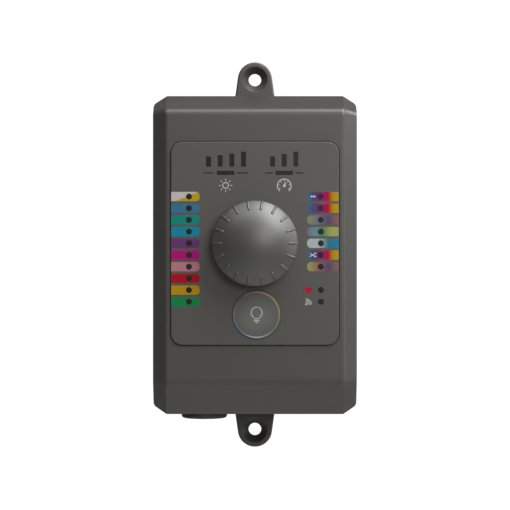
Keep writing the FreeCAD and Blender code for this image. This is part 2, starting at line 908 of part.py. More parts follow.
def filter_capacitors():
    cans = []
    for z in capacitor_z:
        can = post(capacitor_radius, power_board_front, power_board_front + capacitor_depth, capacitor_x, z)
        rim = edges_at_depth(can, power_board_front + capacitor_depth)
        cans.append(can.makeFillet(capacitor_rim_radius, rim))
    return cans


def power_inductor():
    ring = tube(inductor_outer_radius, inductor_inner_radius, power_board_front,
                power_board_front + inductor_depth, inductor_x, inductor_z)
    rims = edges_at_depth(ring, power_board_front + inductor_depth)
    return ring.makeFillet(inductor_rim_radius, rims)


def transistor_places():
    first = sink_x - (transistor_count - 1) * transistor_pitch / 2
    return [first + step * transistor_pitch for step in range(transistor_count)]


def output_transistors():
    z = sink_z - sink_foot / 2 - transistor_height / 2
    return [block(transistor_width, transistor_height, power_board_front,
                  power_board_front + transistor_depth, x, z) for x in transistor_places()]


# An upright plate behind the transistors, with fins on its far side.
def heat_sink():
    plate = block(sink_width, sink_foot, power_board_front, power_board_front + sink_height, sink_x, sink_z)
    pitch = (sink_width - sink_fin) / (sink_fin_count - 1)
    fin_z = sink_z + sink_foot / 2 + sink_fin_reach / 2
    fins = [block(sink_fin, sink_fin_reach, power_board_front, power_board_front + sink_height,
                  sink_x - sink_width / 2 + sink_fin / 2 + step * pitch, fin_z)
            for step in range(sink_fin_count)]
    return plate.fuse(fins).removeSplitter()


def cable_grommet():
    outside = -case_height / 2
    inside = outside + wall
    flange = upright(grommet_flange_radius, outside - grommet_flange_thickness, outside,
                     grommet_x, grommet_depth)
    rim = [edge for edge in flange.Edges if edge.BoundBox.ZMax < outside - tolerance]
    flange = flange.makeFillet(grommet_rim_radius, rim)
    neck = upright(grommet_neck_radius, outside, inside, grommet_x, grommet_depth)
    inner = upright(grommet_inner_radius, inside, inside + grommet_inner_thickness, grommet_x, grommet_depth)
    bore = upright(cable_radius, outside - grommet_flange_thickness - overcut,
                   inside + grommet_inner_thickness + overcut, grommet_x, grommet_depth)
    return flange.fuse([neck, inner]).cut(bore).removeSplitter()


def clamp_seat():
    return grommet_depth + cable_radius


def clamp_post_places():
    return [grommet_x - clamp_post_spacing / 2, grommet_x + clamp_post_spacing / 2]


def cable_clamp():
    bar = rounded_plate(clamp_bar_width, clamp_bar_height, clamp_bar_corner, clamp_seat(),
                        clamp_seat() + clamp_bar_thickness, grommet_x, clamp_z)
    return bar.cut([post(clamp_screw_radius + screw_clearance, clamp_seat() - overcut,
                         clamp_seat() + clamp_bar_thickness + overcut, x, clamp_z)
                    for x in clamp_post_places()])


def clamp_screws():
    head_start = clamp_seat() + clamp_bar_thickness + board_screw_head_depth
    return [screw(x, clamp_z, head_start, -1, board_screw_head_radius, board_screw_head_depth,
                  clamp_screw_radius, clamp_screw_length) for x in clamp_post_places()]


os.makedirs("parts", exist_ok=True)
save("front_cover", front_cover())
save("rear_base", rear_base())
save("cover_seal", cover_seal())
save("control_panel", control_panel())
save("round_badge", round_badge())
for group, places in round_lenses().items():
    save(group, Part.makeCompound([round_lens(*place) for place in places]))
for group, places in bar_lenses().items():
    save(group, Part.makeCompound([bar_lens(*place) for place in places]))
save("knob", knob())
save("knob_bush", knob_bush())
save("encoder_shaft", encoder_shaft())
save("encoder_rotor", encoder_rotor())
save("push_plunger", push_plunger())
save("encoder_housing", encoder_housing())
save("encoder_bushing", encoder_bushing())
save("encoder_gasket", encoder_gasket())
save("encoder_washer", encoder_washer())
save("encoder_nut", encoder_nut())
save("control_board", control_board())
save("microcontroller", microcontroller())
save("wireless_module", wireless_module())
save("board_socket", board_socket())
save("board_header", board_header())
save("power_board", power_board())
save("terminal_block", terminal_block())
save("fuse", fuse())
save("power_inductor", power_inductor())
save("heat_sink", heat_sink())
save("cable_grommet", cable_grommet())
save("cable_clamp", cable_clamp())
save("cover_screws", Part.makeCompound(cover_screws()))
save("indicator_leds", Part.makeCompound(indicator_leds()))
save("control_board_screws", Part.makeCompound(control_board_screws()))
save("power_board_screws", Part.makeCompound(power_board_screws()))
save("terminal_screws", Part.makeCompound(terminal_screws()))
save("fuse_clips", Part.makeCompound(fuse_clips()))
save("filter_capacitors", Part.makeCompound(filter_capacitors()))
save("output_transistors", Part.makeCompound(output_transistors()))
save("clamp_screws", Part.makeCompound(clamp_screws()))
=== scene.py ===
import bpy
import bmesh
import math
from mathutils import Matrix, Vector


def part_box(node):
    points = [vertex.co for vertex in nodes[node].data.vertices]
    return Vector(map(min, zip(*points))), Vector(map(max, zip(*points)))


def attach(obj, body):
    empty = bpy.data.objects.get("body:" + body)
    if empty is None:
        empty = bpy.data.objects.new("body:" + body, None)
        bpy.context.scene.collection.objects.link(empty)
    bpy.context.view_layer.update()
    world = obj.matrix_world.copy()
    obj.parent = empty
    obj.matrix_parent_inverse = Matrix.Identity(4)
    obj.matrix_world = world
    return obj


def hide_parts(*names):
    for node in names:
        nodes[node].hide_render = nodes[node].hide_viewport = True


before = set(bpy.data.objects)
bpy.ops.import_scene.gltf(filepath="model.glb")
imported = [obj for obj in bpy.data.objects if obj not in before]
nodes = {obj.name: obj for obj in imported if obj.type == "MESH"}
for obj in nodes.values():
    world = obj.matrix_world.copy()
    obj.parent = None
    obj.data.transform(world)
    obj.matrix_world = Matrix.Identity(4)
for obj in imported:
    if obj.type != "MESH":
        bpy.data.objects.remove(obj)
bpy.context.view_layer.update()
mm = 0.001
print("frame loaded,", len(nodes), "nodes")


def midPoint(node):
    low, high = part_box(node)
    return (Vector(low) + Vector(high)) / 2


panelLow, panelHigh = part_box("control_panel")
knobLow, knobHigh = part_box("knob")
badgeLow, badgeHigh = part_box("round_badge")
knobCentre = midPoint("knob")
badgeCentre = midPoint("round_badge")

# Camera: level, square to the front, far enough back for weak perspective
cameraSetup = {
    "distance": 900 * mm,        # from the widest outline of the case to the lens
    "outlineDepth": 29.5 * mm,   # of that outline, measured from the wall
    "frameWidth": 226.1 * mm,    # seen across at that depth
    "centreX": 0.04 * mm,
    "centreZ": -0.2 * mm,
}
cameraData = bpy.data.cameras.new("camera")
cameraData.sensor_width = 36
cameraData.lens = cameraData.sensor_width * cameraSetup["distance"] / cameraSetup["frameWidth"]
camera = bpy.data.objects.new("camera", cameraData)
bpy.context.scene.collection.objects.link(camera)
camera.location = (cameraSetup["centreX"], -cameraSetup["outlineDepth"] - cameraSetup["distance"],
                   cameraSetup["centreZ"])
camera.rotation_euler = (math.radians(90), 0, 0)
bpy.context.scene.camera = camera
bpy.context.scene.view_settings.view_transform = "Standard"


# sRGB hex to linear colour
def linearColour(hexCode, alpha=1.0):
    channels = [int(hexCode[i:i + 2], 16) / 255 for i in (0, 2, 4)]
    linear = [c / 12.92 if c <= 0.04045 else ((c + 0.055) / 1.055) ** 2.4 for c in channels]
    return (*linear, alpha)


def addNode(tree, kind, settings=None, values=None, links=None):
    node = tree.nodes.new(kind)
    for name, value in (settings or {}).items():
        setattr(node, name, value)
    for name, value in (values or {}).items():
        node.inputs[name].default_value = value
    for name, source in (links or {}).items():
        tree.links.new(source, node.inputs[name])
    return node


def startMaterial(name, roughness, ior=1.5, metallic=0.0):
    material = bpy.data.materials.new(name)
    material.use_nodes = True
    tree = material.node_tree
    shader = tree.nodes["Principled BSDF"]
    shader.inputs["Roughness"].default_value = roughness
    shader.inputs["IOR"].default_value = ior
    shader.inputs["Metallic"].default_value = metallic
    place = addNode(tree, "ShaderNodeTexCoord").outputs["Object"]
    return material, tree, shader, place


# Colour that drifts a little over centimetres, roughness that drifts with it, and a fine
# grain in the surface. grainMm is the size of one grain, reliefMm its height.
def grainySurface(tree, shader, place, hexCode, drift, grainMm, reliefMm, roughness, roughDrift):
    clouds = addNode(tree, "ShaderNodeTexNoise", values={"Scale": 1 / (35 * mm), "Detail": 3.0},
                     links={"Vector": place})
    tint = addNode(tree, "ShaderNodeMapRange",
                   values={"From Min": 0.3, "From Max": 0.7, "To Min": 1 - drift, "To Max": 1 + drift},
                   links={"Value": clouds.outputs["Fac"]})
    base = linearColour(hexCode)
    scaled = addNode(tree, "ShaderNodeVectorMath", settings={"operation": "SCALE"},
                     values={"Vector": base[:3]}, links={"Scale": tint.outputs["Result"]})
    tree.links.new(scaled.outputs["Vector"], shader.inputs["Base Color"])
    grain = addNode(tree, "ShaderNodeTexNoise", values={"Scale": 1 / (grainMm * mm), "Detail": 2.0},
                    links={"Vector": place})
    rough = addNode(tree, "ShaderNodeMapRange",
                    values={"From Min": 0.3, "From Max": 0.7, "To Min": roughness - roughDrift,
                            "To Max": roughness + roughDrift},
                    links={"Value": grain.outputs["Fac"]})
    tree.links.new(rough.outputs["Result"], shader.inputs["Roughness"])
    bump = addNode(tree, "ShaderNodeBump", values={"Distance": reliefMm * mm, "Strength": 1.0},
                   links={"Height": grain.outputs["Fac"]})
    tree.links.new(bump.outputs["Normal"], shader.inputs["Normal"])


# Moulded ABS with a fine spark-eroded grain: a soft, wide sheen on every rounded edge
def mouldedAbs(name, hexCode, roughness, grainMm=0.45, reliefMm=0.006):
    material, tree, shader, place = startMaterial(name, roughness, ior=1.53)
    grainySurface(tree, shader, place, hexCode, 0.03, grainMm, reliefMm, roughness, 0.03)
    return material


# Smoked polycarbonate window: nearly black, with a clear gloss over it
def smokedPolycarbonate(name, hexCode):
    material, tree, shader, place = startMaterial(name, 0.2, ior=1.585)
    grainySurface(tree, shader, place, hexCode, 0.06, 1.5, 0.001, 0.2, 0.03)
    return material


# EPDM rubber: dull black with a slight bloom
def epdmRubber(name, hexCode):
    material, tree, shader, place = startMaterial(name, 0.62, ior=1.5)
    grainySurface(tree, shader, place, hexCode, 0.10, 0.8, 0.01, 0.62, 0.06)
    return material


# Metal with fine tool lines that run round or along it
def turnedMetal(name, hexCode, roughness, lineMm):
    material, tree, shader, place = startMaterial(name, roughness, metallic=1.0)
    shader.inputs["Base Color"].default_value = linearColour(hexCode)
    lines = addNode(tree, "ShaderNodeTexWave", settings={"bands_direction": "Y"},
                    values={"Scale": 1 / (lineMm * 20 * mm), "Distortion": 0.6, "Detail": 1.0},
                    links={"Vector": place})
    rough = addNode(tree, "ShaderNodeMapRange", values={"To Min": roughness - 0.06, "To Max": roughness + 0.08},
                    links={"Value": lines.outputs["Fac"]})
    tree.links.new(rough.outputs["Result"], shader.inputs["Roughness"])
    bump = addNode(tree, "ShaderNodeBump", values={"Distance": 0.004 * mm, "Strength": 0.6},
                   links={"Height": lines.outputs["Fac"]})
    tree.links.new(bump.outputs["Normal"], shader.inputs["Normal"])
    return material


# Glass-epoxy laminate under green solder mask, with pale copper runs showing through it
def epoxyLaminate(name, maskHex, trackHex):
    material, tree, shader, place = startMaterial(name, 0.32, ior=1.55)
    runs = addNode(tree, "ShaderNodeTexVoronoi", settings={"feature": "DISTANCE_TO_EDGE"},
                   values={"Scale": 1 / (7 * mm), "Randomness": 0.35}, links={"Vector": place})
    edge = addNode(tree, "ShaderNodeMath", settings={"operation": "LESS_THAN"},
                   values={1: 0.06}, links={0: runs.outputs["Distance"]})
    mix = addNode(tree, "ShaderNodeMix", settings={"data_type": "RGBA"},
                  values={6: linearColour(maskHex), 7: linearColour(trackHex)},
                  links={0: edge.outputs[0]})
    tree.links.new(mix.outputs[2], shader.inputs["Base Color"])
    bump = addNode(tree, "ShaderNodeBump", values={"Distance": 0.03 * mm, "Strength": 0.5},
                   links={"Height": edge.outputs[0]})
    tree.links.new(bump.outputs["Normal"], shader.inputs["Normal"])
    return material


# Fuse glass: clear, slightly green
def sodaGlass(name):
    material, tree, shader, place = startMaterial(name, 0.05, ior=1.52)
    shader.inputs["Transmission Weight"].default_value = 0.9
    grainySurface(tree, shader, place, "c8d2cc", 0.02, 3.0, 0.001, 0.06, 0.01)
    return material


inkShine = 0.1    # share of the usual mirror reflection that matt ink keeps


# Screen-printed ink: one flat film with a faint mesh in it and hardly any shine
def screenInk(name, hexCode):
    material, tree, shader, place = startMaterial(name, 0.5, ior=1.48)
    shader.inputs["Specular IOR Level"].default_value = inkShine
    grainySurface(tree, shader, place, hexCode, 0.03, 0.5, 0.002, 0.5, 0.04)
    return material


# Ink printed as a blend of colours, from one point of the panel to another (x and z)
def blendedInk(name, stops, start, end):
    material, tree, shader, place = startMaterial(name, 0.5, ior=1.48)
    shader.inputs["Specular IOR Level"].default_value = inkShine
    way = Vector((end[0] - start[0], 0, end[1] - start[1]))
    first = Vector((start[0], 0, start[1])).dot(way) / way.length_squared
    along = addNode(tree, "ShaderNodeVectorMath", settings={"operation": "DOT_PRODUCT"},
                    values={1: way / way.length_squared}, links={0: place})
    share = addNode(tree, "ShaderNodeMapRange", values={"From Min": first, "From Max": first + 1},
                    links={"Value": along.outputs["Value"]})
    ramp = addNode(tree, "ShaderNodeValToRGB", links={"Fac": share.outputs["Result"]})
    fillRamp(ramp, stops)
    tree.links.new(ramp.outputs["Color"], shader.inputs["Base Color"])
    return material


def fillRamp(ramp, stops):
    points = ramp.color_ramp.elements
    for at, hexCode in stops[1:-1]:
        points.new(at).color = linearColour(hexCode)
    points[0].position, points[0].color = stops[0][0], linearColour(stops[0][1])
    points[-1].position, points[-1].color = stops[-1][0], linearColour(stops[-1][1])


# Ink whose colour turns with the angle round a centre
def hueRingInk(name, stops, centre):
    material, tree, shader, place = startMaterial(name, 0.45, ior=1.48)
    turned = addNode(tree, "ShaderNodeMapping", settings={"vector_type": "TEXTURE"},
                     values={"Location": centre, "Rotation": (math.radians(90), 0, 0)},
                     links={"Vector": place})
    sweep = addNode(tree, "ShaderNodeTexGradient", settings={"gradient_type": "RADIAL"},
                    links={"Vector": turned.outputs["Vector"]})
    ramp = addNode(tree, "ShaderNodeValToRGB", links={"Fac": sweep.outputs["Fac"]})
    fillRamp(ramp, stops)
    tree.links.new(ramp.outputs["Color"], shader.inputs["Base Color"])
    return material


# Printed polycarbonate badge: pale in the middle, fading out to the panel's own grey
def badgePrint(name, innerHex, outerHex, centre, radius):
    material, tree, shader, place = startMaterial(name, 0.42, ior=1.585)
    offset = addNode(tree, "ShaderNodeVectorMath", settings={"operation": "SUBTRACT"},
                     values={1: centre}, links={0: place})
    flat = addNode(tree, "ShaderNodeVectorMath", settings={"operation": "MULTIPLY"},
                   values={1: (1, 0, 1)}, links={0: offset.outputs[0]})
    distance = addNode(tree, "ShaderNodeVectorMath", settings={"operation": "LENGTH"},
                       links={0: flat.outputs[0]})
    share = addNode(tree, "ShaderNodeMapRange",
                    settings={"interpolation_type": "SMOOTHSTEP"},
                    values={"From Min": radius * 0.25, "From Max": radius},
                    links={"Value": distance.outputs["Value"]})
    mix = addNode(tree, "ShaderNodeMix", settings={"data_type": "RGBA"},
                  values={6: linearColour(innerHex), 7: linearColour(outerHex)},
                  links={0: share.outputs["Result"]})
    tree.links.new(mix.outputs[2], shader.inputs["Base Color"])
    return material


caseFinish = mouldedAbs("caseAbs", "383733", 0.37)
baseFinish = mouldedAbs("baseAbs", "373632", 0.42)
panelFinish = mouldedAbs("panelAbs", "3d3b37", 0.38, grainMm=0.35, reliefMm=0.003)
knobFinish = mouldedAbs("knobAbs", "302f2d", 0.45, grainMm=0.3, reliefMm=0.002)
# Satin lacquer over the knob: it widens and brightens the highlight on the dome
knobShader = knobFinish.node_tree.nodes["Principled BSDF"]
knobShader.inputs["Coat Weight"].default_value = 0.8
knobShader.inputs["Coat Roughness"].default_value = 0.42
windowFinish = smokedPolycarbonate("smokedPolycarbonate", "121211")
rubberFinish = epdmRubber("epdm", "262624")
zincSteel = turnedMetal("zincSteel", "b9bbbd", 0.32, 0.3)
nickelBrass = turnedMetal("brass", "c9a45c", 0.30, 0.25)
sinkAluminium = turnedMetal("extrudedAluminium", "c6c8cb", 0.38, 0.5)
blackNylon = mouldedAbs("glassNylon", "232322", 0.5)
greenNylon = mouldedAbs("terminalNylon", "2f7a45", 0.45)
ferriteCoat = mouldedAbs("epoxyCoatedFerrite", "3b3c40", 0.5)
ledEpoxy = mouldedAbs("ledEpoxy", "e6e0c4", 0.3)
laminate = epoxyLaminate("epoxyLaminate", "1c5a38", "3c8058")
badgeFinish = badgePrint("badgePolycarbonate", "50514c", "403e3a", badgeCentre,
                         (badgeHigh[0] - badgeLow[0]) / 2)
fuseGlass = sodaGlass("sodaGlass")
print("materials made")

finishOf = {
    "cover_seal": rubberFinish, "cover_screws": zincSteel, "round_badge": badgeFinish,
    "colour_indicators": windowFinish, "program_indicators": windowFinish,
    "status_indicators": windowFinish, "brightness_bars": windowFinish, "speed_bars": windowFinish,
    "mode_bars": windowFinish, "knob_bush": nickelBrass, "encoder_shaft": zincSteel,
    "encoder_rotor": blackNylon, "push_plunger": blackNylon, "encoder_housing": blackNylon,
    "encoder_bushing": nickelBrass, "encoder_gasket": rubberFinish, "encoder_washer": zincSteel,
    "encoder_nut": zincSteel, "control_board": laminate, "microcontroller": blackNylon,
    "wireless_module": zincSteel, "board_socket": blackNylon, "board_header": blackNylon,
    "power_board": laminate, "terminal_block": greenNylon, "fuse": fuseGlass,
    "power_inductor": ferriteCoat, "heat_sink": sinkAluminium, "cable_clamp": blackNylon,
    "indicator_leds": ledEpoxy, "control_board_screws": zincSteel, "power_board_screws": zincSteel,
    "terminal_screws": zincSteel, "fuse_clips": nickelBrass, "filter_capacitors": sinkAluminium,
    "output_transistors": blackNylon, "clamp_screws": zincSteel,
}
for nodeName, finish in finishOf.items():
    mesh = nodes[nodeName].data
    mesh.materials.clear()
    mesh.materials.append(finish)
print("CAD pieces finished,", len(finishOf))


def placeObject(name, mesh, finish, body):
    piece = bpy.data.objects.new(name, mesh)
    bpy.context.scene.collection.objects.link(piece)
    mesh.materials.clear()
    mesh.materials.append(finish)
    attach(piece, body)
    return piece


# Applies every modifier of an object and gives back the plain mesh
def evaluatedMesh(piece):
    graph = bpy.context.evaluated_depsgraph_get()
    mesh = bpy.data.meshes.new_from_object(piece.evaluated_get(graph))
    piece.modifiers.clear()
    return mesh


# A copy of a CAD node with its triangles joined up, its sharp edges softened and smooth shading
def softenedCopy(nodeName, pieceName, edge, finish, body="case"):
    mesh = nodes[nodeName].data.copy()
    work = bmesh.new()
    work.from_mesh(mesh)
    bmesh.ops.remove_doubles(work, verts=work.verts, dist=0.002 * mm)
    bmesh.ops.dissolve_limit(work, angle_limit=math.radians(0.6), verts=work.verts, edges=work.edges)
    work.to_mesh(mesh)
    work.free()
    source = bpy.data.objects.new(pieceName + "Source", mesh)
    bpy.context.scene.collection.objects.link(source)
    bevel = source.modifiers.new("edge", "BEVEL")
    bevel.width = edge
    bevel.segments = 2
    bevel.limit_method = "ANGLE"
    bevel.angle_limit = math.radians(32)
    bevel.harden_normals = True
    result = evaluatedMesh(source)
    bpy.data.objects.remove(source)
    result.name = pieceName
    result.shade_smooth()
    piece = placeObject(pieceName, result, finish, body)
    smooth = piece.modifiers.new("normals", "WEIGHTED_NORMAL")
    smooth.keep_sharp = True
    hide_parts(nodeName)
    return piece


softenedCopy("front_cover", "coverShell", 0.12 * mm, caseFinish)
softenedCopy("rear_base", "baseShell", 0.15 * mm, baseFinish)
softenedCopy("control_panel", "panelPlate", 0.06 * mm, panelFinish)
softenedCopy("cable_grommet", "grommet", 0.25 * mm, rubberFinish)
print("shells softened")

# Knob: a domed cap turned from one profile, with grip ribs over its rim and down its skirt
knobShape = {
    "radius": 18.8 * mm,
    "domeRadius": 28.3 * mm,
    "edgeRadius": 1.4 * mm,      # between the dome and the skirt
    "wall": 2.2 * mm,
    "rimRound": 0.35 * mm,
    "hubRadius": 5.6 * mm,
    "hubLow": 3.6 * mm,
    "turns": 160,
}
ribShape = {
    "count": 18,
    "radius": 0.62 * mm,
    "proud": 0.42 * mm,          # over the dome
    "skirtProud": 0.25 * mm,
    "innerReach": 14.9 * mm,
    "foot": 1.0 * mm,            # left free above the knob's base
    "sides": 16,                 # round the bar
    "ballRings": 6,
}
knobRadius = knobShape["radius"]
knobHeight = knobHigh[1] - knobLow[1]
domeCentre = knobHeight - knobShape["domeRadius"]


def arcPoints(centreR, centreH, radius, fromAngle, toAngle, steps):
    angles = [fromAngle + (toAngle - fromAngle) * i / steps for i in range(steps + 1)]
    return [(centreR + radius * math.cos(a), centreH + radius * math.sin(a)) for a in angles]


# Height of a dome of some radius over the knob's base, at some reach from the axis
def domeHeight(domeRadius, reach):
    return domeCentre + math.sqrt(domeRadius ** 2 - reach ** 2)


# Outside of the cap: round the edge from the skirt, then over the dome to the crown
def outerProfile():
    edge = knobShape["edgeRadius"]
    edgeR = knobRadius - edge
    edgeH = domeHeight(knobShape["domeRadius"] - edge, edgeR)
    joinAngle = math.atan2(edgeH - domeCentre, edgeR)
    return (arcPoints(edgeR, edgeH, edge, 0, joinAngle, 10)
            + arcPoints(0, domeCentre, knobShape["domeRadius"], joinAngle, math.pi / 2, 40)[1:])


# Inside of the cap: from the top of the inner wall along the underside of the dome to the hub
def innerProfile():
    dome = knobShape["domeRadius"] - knobShape["wall"]
    wallR = knobRadius - knobShape["wall"]
    return arcPoints(0, domeCentre, dome, math.acos(wallR / dome), math.acos(knobShape["hubRadius"] / dome), 24)


def turnedMesh(name, profile, centre, baseY, turns):
    work = bmesh.new()
    rings = []
    for radius, height in profile:
        if radius < 1e-7:
            rings.append([work.verts.new((centre.x, baseY - height, centre.z))])
            continue
        ring = []
        for i in range(turns):
            angle = 2 * math.pi * i / turns
            ring.append(work.verts.new((centre.x + radius * math.cos(angle), baseY - height,
                                        centre.z + radius * math.sin(angle))))
        rings.append(ring)
    for first, second in zip(rings, rings[1:]):
        for i in range(turns):
            j = (i + 1) % turns
            corners = [first[i % len(first)], first[j % len(first)],
                       second[j % len(second)], second[i % len(second)]]
            unique = list(dict.fromkeys(corners))
            work.faces.new(unique)
    bmesh.ops.recalc_face_normals(work, faces=work.faces)
    mesh = bpy.data.meshes.new(name)
    work.to_mesh(mesh)
    work.free()
    mesh.shade_smooth()
    return mesh


rimRound = knobShape["rimRound"]
inside = innerProfile()
rim = arcPoints(knobRadius - rimRound, rimRound, rimRound, -math.pi / 2, 0, 5)
innerRim = arcPoints(knobRadius - knobShape["wall"] + rimRound, rimRound, rimRound, math.pi, 1.5 * math.pi, 5)
profile = [(0, knobHeight)] + outerProfile()[::-1][1:] + rim[::-1] + innerRim[::-1] + inside
profile += [(knobShape["hubRadius"], knobShape["hubLow"]), (0, knobShape["hubLow"])]
knobCap = placeObject("knobCap", turnedMesh("knobCap", profile, knobCentre, knobHigh[1], knobShape["turns"]),
                      knobFinish, "pressed_knob")
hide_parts("knob")


# Middle line of one rib, as reach and height: along the dome, then down the skirt
def ribPath():
    arcRadius = knobShape["domeRadius"] + ribShape["proud"] - ribShape["radius"]
    halfEdge = knobShape["edgeRadius"] / 2
    low = math.acos(ribShape["innerReach"] / arcRadius)
    high = math.acos((knobRadius - halfEdge) / arcRadius)
    skirtReach = knobRadius + ribShape["skirtProud"] - ribShape["radius"]
    skirtTop = domeHeight(knobShape["domeRadius"], knobRadius) - halfEdge
    skirt = [(skirtReach, skirtTop + (ribShape["foot"] - skirtTop) * i / 4) for i in range(5)]
    return arcPoints(0, domeCentre, arcRadius, low, high, 12) + skirt


# One rib at the right of the knob: a round bar with ball ends
def ribMesh():
    radius, sides = ribShape["radius"], ribShape["sides"]
    path = [Vector(point) for point in ribPath()]
    stations = []
    for tip, neighbour in ((path[0], path[1]), (path[-1], path[-2])):
        outward = (tip - neighbour).normalized() * radius
        ball = [(tip + outward * math.cos(a), radius * max(math.sin(a), 0.03))
                for a in [math.pi / 2 * i / ribShape["ballRings"] for i in range(ribShape["ballRings"])]]
        stations.append(ball)
    line = stations[0] + [(point, radius) for point in path] + stations[1][::-1]
    work = bmesh.new()
    rings = []
    for i, (point, size) in enumerate(line):
        along = (line[min(i + 1, len(line) - 1)][0] - line[max(i - 1, 0)][0]).normalized()
        ring = []
        for turn in [2 * math.pi * side / sides for side in range(sides)]:
            reach = point.x - along.y * size * math.cos(turn)
            height = point.y + along.x * size * math.cos(turn)
            ring.append(work.verts.new((reach, knobHigh[1] - height, size * math.sin(turn))))
        rings.append(ring)
    for first, second in zip(rings, rings[1:]):
        for side in range(sides):
            following = (side + 1) % sides
            work.faces.new([first[side], first[following], second[following], second[side]])
    work.faces.new(rings[0])
    work.faces.new(rings[-1])
    bmesh.ops.recalc_face_normals(work, faces=work.faces)
    mesh = bpy.data.meshes.new("gripRib")
    work.to_mesh(mesh)
    work.free()
    return mesh


# Geometry Nodes: copies of the input set evenly round the Y axis, then moved to a centre
def ringOfCopies(finish):
    tree = bpy.data.node_groups.new("ringOfCopies", "GeometryNodeTree")
    face = tree.interface
    face.new_socket("Geometry", in_out="INPUT", socket_type="NodeSocketGeometry")
    face.new_socket("Count", in_out="INPUT", socket_type="NodeSocketInt")
    face.new_socket("First Angle", in_out="INPUT", socket_type="NodeSocketFloat")
    face.new_socket("Step Angle", in_out="INPUT", socket_type="NodeSocketFloat")
    face.new_socket("Centre", in_out="INPUT", socket_type="NodeSocketVector")
    face.new_socket("Geometry", in_out="OUTPUT", socket_type="NodeSocketGeometry")
    given = addNode(tree, "NodeGroupInput").outputs
    points = addNode(tree, "GeometryNodePoints", links={"Count": given["Count"]})
    index = addNode(tree, "GeometryNodeInputIndex")
    turned = addNode(tree, "ShaderNodeMath", settings={"operation": "MULTIPLY_ADD"},
                     links={0: index.outputs[0], 1: given["Step Angle"], 2: given["First Angle"]})
    rotation = addNode(tree, "ShaderNodeCombineXYZ", links={"Y": turned.outputs[0]})
    copies = addNode(tree, "GeometryNodeInstanceOnPoints",
                     links={"Points": points.outputs[0], "Instance": given["Geometry"],
                            "Rotation": rotation.outputs[0]})
    real = addNode(tree, "GeometryNodeRealizeInstances", links={"Geometry": copies.outputs[0]})
    moved = addNode(tree, "GeometryNodeTransform",
                    links={"Geometry": real.outputs[0], "Translation": given["Centre"]})
    painted = addNode(tree, "GeometryNodeSetMaterial", values={"Material": finish},
                      links={"Geometry": moved.outputs[0]})
    addNode(tree, "NodeGroupOutput", links={0: painted.outputs[0]})
    return tree


def copiesRound(name, mesh, finish, count, firstAngle, stepAngle, centre, body):
    source = bpy.data.objects.new(name + "Source", mesh)
    bpy.context.scene.collection.objects.link(source)
    modifier = source.modifiers.new("copies", "NODES")
    tree = ringOfCopies(finish)
    modifier.node_group = tree
    values = {"Count": count, "First Angle": firstAngle, "Step Angle": stepAngle, "Centre": centre}
    for item in tree.interface.items_tree:
        if item.in_out == "INPUT" and item.name in values:
            modifier[item.identifier] = values[item.name]
    result = evaluatedMesh(source)
    bpy.data.objects.remove(source)
    result.shade_smooth()
    return placeObject(name, result, finish, body)


copiesRound("gripRibs", ribMesh(), knobFinish, ribShape["count"], 0.0, 2 * math.pi / ribShape["count"],
            (knobCentre.x, 0, knobCentre.z), "pressed_knob")
print("knob made")

# Printing on the panel: thin closed films of ink
ink = {"film": 0.03 * mm, "sunk": 0.01 * mm}
panelFace = panelLow[1]
badgeFace = badgeLow[1]


def circleOutline(centreX, centreZ, radius, steps=48):
    return [(centreX + radius * math.cos(2 * math.pi * i / steps),
             centreZ + radius * math.sin(2 * math.pi * i / steps)) for i in range(steps)]


def boxOutline(lowX, highX, lowZ, highZ):
    return [(lowX, lowZ), (highX, lowZ), (highX, highZ), (lowX, highZ)]


# A straight stroke of some width from one point to another
def strokeOutline(start, end, width):
    along = Vector((end[0] - start[0], end[1] - start[1])).normalized() * width / 2
    return [(start[0] - along.y, start[1] + along.x), (start[0] + along.y, start[1] - along.x),
            (end[0] + along.y, end[1] - along.x), (end[0] - along.y, end[1] + along.x)]


# A curved stroke round a centre, from one angle to another in degrees
def arcOutline(centreX, centreZ, radius, width, fromDegrees, toDegrees, steps=40):
    low, high = math.radians(fromDegrees), math.radians(toDegrees)
    outer = arcPoints(centreX, centreZ, radius + width / 2, low, high, steps)
    inner = arcPoints(centreX, centreZ, radius - width / 2, high, low, steps)
    return outer + inner


# Fills the outlines, leaving inner ones open, as a film that stands on a face
def printFilm(name, outlines, finish, faceY=None):
    curve = bpy.data.curves.new(name, "CURVE")
    curve.dimensions = "2D"
    curve.fill_mode = "BOTH"
    curve.extrude = (ink["film"] + ink["sunk"]) / 2
    for outline in outlines:
        spline = curve.splines.new("POLY")
        spline.points.add(len(outline) - 1)
        for point, (x, z) in zip(spline.points, outline):
            point.co = (x, z, 0, 1)
        spline.use_cyclic_u = True
    source = bpy.data.objects.new(name + "Source", curve)
    bpy.context.scene.collection.objects.link(source)
    mesh = evaluatedMesh(source)
    bpy.data.objects.remove(source)
    front = (panelFace if faceY is None else faceY) + (ink["sunk"] - ink["film"]) / 2
    mesh.transform(Matrix(((1, 0, 0, 0), (0, 0, -1, front), (0, 1, 0, 0), (0, 0, 0, 1))))
    work = bmesh.new()
    work.from_mesh(mesh)
    bmesh.ops.remove_doubles(work, verts=work.verts, dist=0.0005 * mm)
    bmesh.ops.recalc_face_normals(work, faces=work.faces)
    work.to_mesh(mesh)
    work.free()
    return placeObject(name, mesh, finish, "case")


